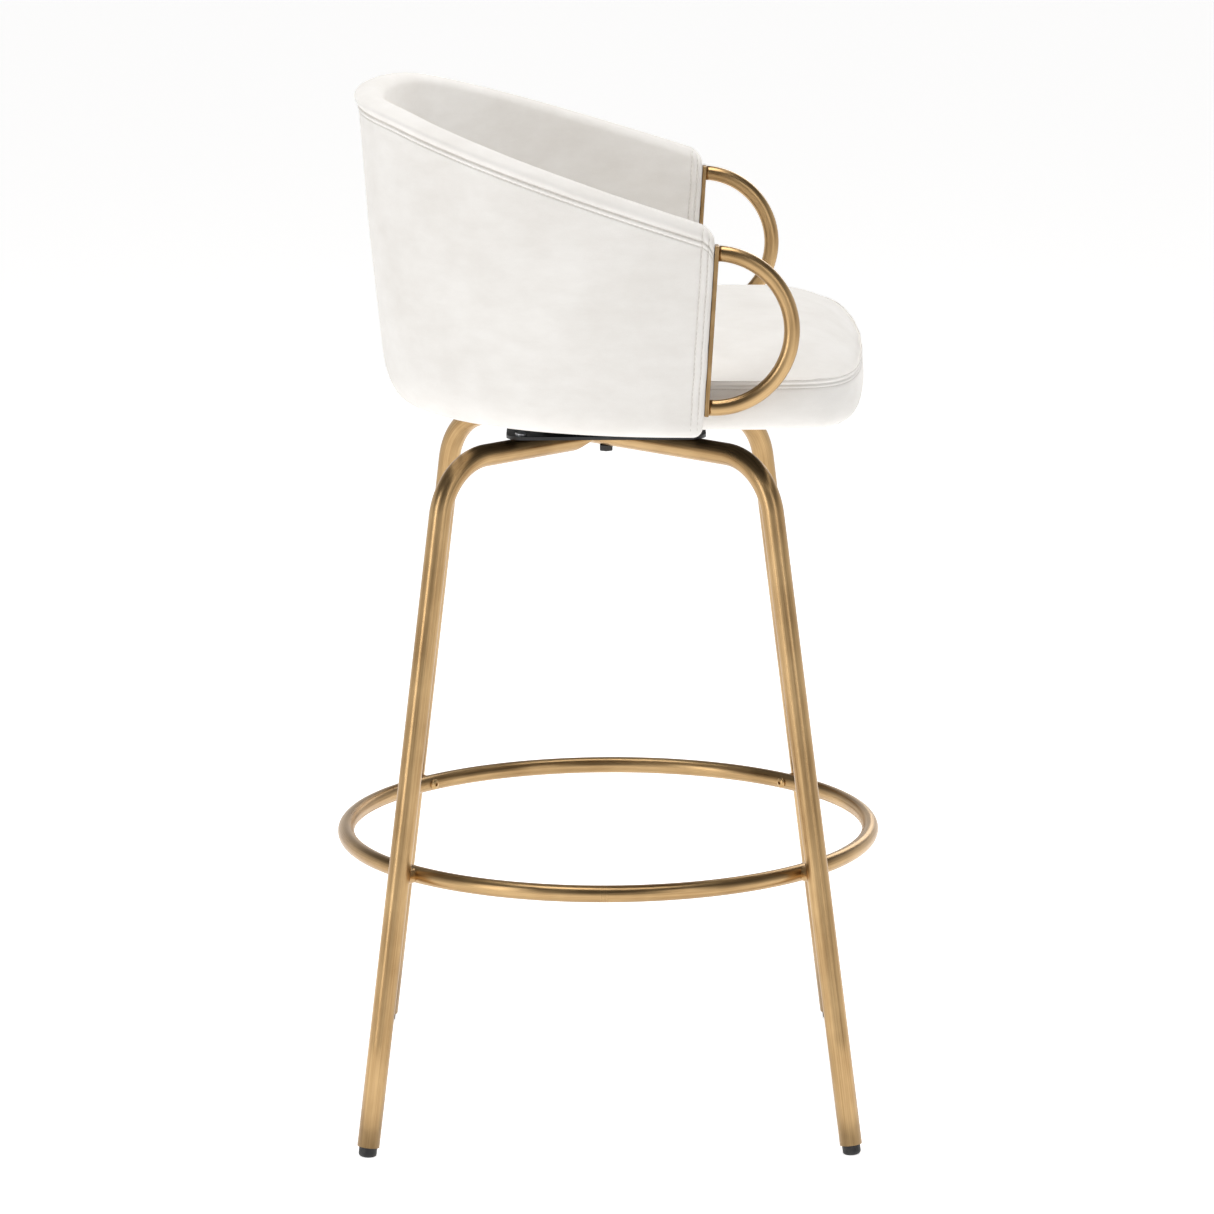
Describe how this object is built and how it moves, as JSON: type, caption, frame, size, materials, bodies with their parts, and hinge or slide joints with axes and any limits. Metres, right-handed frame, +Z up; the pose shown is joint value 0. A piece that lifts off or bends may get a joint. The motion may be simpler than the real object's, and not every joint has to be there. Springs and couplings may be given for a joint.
{
  "type": "bar stool with footrest",
  "caption": "Bar stool with an upholstered tub back and D-shaped arm handles, a cushioned seat that swivels, and a splayed tubular base with a round footrest.",
  "frame": {"origin": "on the floor, on the swivel axis", "axes": "+Z up, the sitter faces -Y, and +X is towards the sitter's left"},
  "size_m": [0.604, 0.5238, 0.981],
  "materials": {
    "gold_metal": "brushed satin gold",
    "black_plastic": "matt moulded",
    "black_steel": "semi-gloss black powder coat",
    "zinc_steel": "zinc plated",
    "bearing_steel": "polished",
    "plywood": "bare plywood",
    "black_wood": "painted black",
    "black_cloth": "non-woven",
    "ivory_velvet": "short-pile velvet"
  },
  "bodies": {
    "base": {"leg_loop_upper": "gold_metal", "leg_loop_lower": "gold_metal", "foot_front_left": "black_plastic", "foot_front_right": "black_plastic", "foot_rear_left": "black_plastic", "foot_rear_right": "black_plastic", "footrest_ring": "gold_metal", "ring_spacers": "gold_metal", "ring_screws": "gold_metal", "swivel_lower_plate": "black_steel", "swivel_balls": "bearing_steel", "king_bolt": "black_steel", "king_nut": "zinc_steel", "frame_screws": "zinc_steel"},
    "seat": {"swivel_upper_plate": "black_steel", "riser_block": "black_wood", "seat_screws": "zinc_steel", "seat_board": "plywood", "dust_cover": "black_cloth", "seat_cushion": "ivory_velvet", "back_core": "plywood", "back_outer_pad": "ivory_velvet", "back_inner_pad": "ivory_velvet", "back_edge_roll": "ivory_velvet", "back_screws": "zinc_steel", "handle_strip_left": "gold_metal", "handle_strip_right": "gold_metal", "handle_tube_left": "gold_metal", "handle_tube_right": "gold_metal", "strip_screws": "gold_metal"}
  },
  "joints": [
    {"name": "seat_swivel", "type": "hinge", "parent": "base", "child": "seat", "pos_m": [0, 0, 0.666], "axis": [0, 0, 1], "continuous": true}
  ]
}
